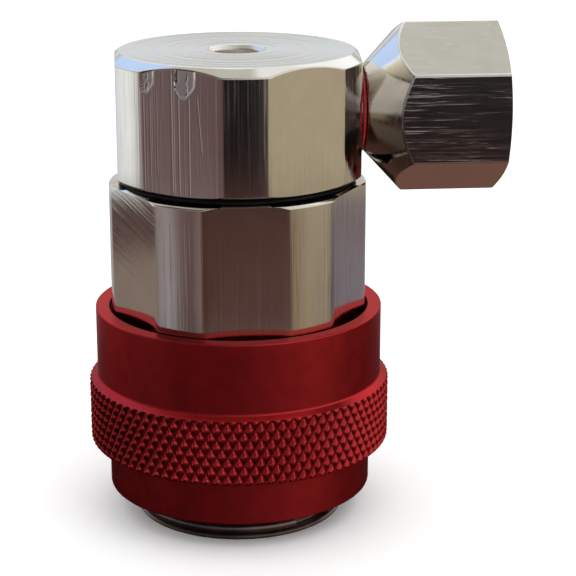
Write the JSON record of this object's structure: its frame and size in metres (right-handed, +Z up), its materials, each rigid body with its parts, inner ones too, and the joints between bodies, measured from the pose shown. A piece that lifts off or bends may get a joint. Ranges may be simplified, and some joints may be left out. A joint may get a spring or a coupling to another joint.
{
  "type": "refrigerant service coupler",
  "caption": "Push-on service coupler with a knurled sliding lock sleeve on its nose, two wrench hexagons and a hexagonal hose socket out of its side.",
  "frame": {"origin": "under the middle of the part, in the plane of the nose's end face, which it stands on", "axes": "+Z up the coupling axis, from the nose to the head; +X out along the hose socket"},
  "size_m": [0.0478, 0.0352, 0.0575],
  "materials": {
    "nickel": "bright nickel plate over turned brass",
    "steel": "plain spring steel",
    "dark_steel": "dark oiled spring steel",
    "brass": "turned",
    "red_anodised": "satin red anodised",
    "rubber": "matte",
    "white_seal": "matte",
    "sealant": "glossy, set"
  },
  "bodies": {
    "coupler": {"coupler_body": "nickel", "upper_head": "nickel", "head_o_ring": "rubber", "hose_socket": "nickel", "thread_sealant": "sealant", "socket_gasket": "white_seal", "retaining_ring": "dark_steel", "seal_carrier": "brass", "port_o_ring": "rubber", "carrier_o_ring": "rubber", "valve_spring": "steel", "spring_retainer": "brass"},
    "spring_seat": {"spring_washer": "steel", "sleeve_spring": "steel"},
    "sleeve": {"locking_sleeve": "red_anodised"},
    "ball_1": {"locking_ball_1": "steel"},
    "ball_2": {"locking_ball_2": "steel"},
    "ball_3": {"locking_ball_3": "steel"},
    "ball_4": {"locking_ball_4": "steel"},
    "ball_5": {"locking_ball_5": "steel"},
    "ball_6": {"locking_ball_6": "steel"},
    "valve": {"valve_pin": "brass", "valve_seal": "rubber"}
  },
  "joints": [
    {"name": "sleeve_spin", "type": "hinge", "parent": "coupler", "child": "spring_seat", "pos_m": [-0.00628, 0, 0.0226], "axis": [0, 0, 1], "continuous": true},
    {"name": "sleeve_slide", "type": "slide", "parent": "spring_seat", "child": "sleeve", "axis": [0, 0, 1], "range_m": [0, 0.0042], "stiffness_N_per_m": 1200, "springref_m": -0.004, "deforming": ["sleeve_spring"]},
    {"name": "valve_lift", "type": "slide", "parent": "coupler", "child": "valve", "axis": [0, 0, 1], "range_m": [0, 0.0022], "stiffness_N_per_m": 800, "springref_m": -0.003, "deforming": ["valve_spring"]},
    {"name": "ball_1_slide", "type": "slide", "parent": "coupler", "child": "ball_1", "axis": [0.866, 0.5, 0], "range_m": [0, 0.0011]},
    {"name": "ball_2_slide", "type": "slide", "parent": "coupler", "child": "ball_2", "axis": [0, 1, 0], "range_m": [0, 0.0011]},
    {"name": "ball_3_slide", "type": "slide", "parent": "coupler", "child": "ball_3", "axis": [-0.866, 0.5, 0], "range_m": [0, 0.0011]},
    {"name": "ball_4_slide", "type": "slide", "parent": "coupler", "child": "ball_4", "axis": [-0.866, -0.5, 0], "range_m": [0, 0.0011]},
    {"name": "ball_5_slide", "type": "slide", "parent": "coupler", "child": "ball_5", "axis": [0, -1, 0], "range_m": [0, 0.0011]},
    {"name": "ball_6_slide", "type": "slide", "parent": "coupler", "child": "ball_6", "axis": [0.866, -0.5, 0], "range_m": [0, 0.0011]}
  ],
  "couplings": [
    {"joint": "ball_1_slide", "follows": "sleeve_slide", "ratio": 0.2553},
    {"joint": "ball_2_slide", "follows": "sleeve_slide", "ratio": 0.2553},
    {"joint": "ball_3_slide", "follows": "sleeve_slide", "ratio": 0.2553},
    {"joint": "ball_4_slide", "follows": "sleeve_slide", "ratio": 0.2553},
    {"joint": "ball_5_slide", "follows": "sleeve_slide", "ratio": 0.2553},
    {"joint": "ball_6_slide", "follows": "sleeve_slide", "ratio": 0.2553}
  ]
}
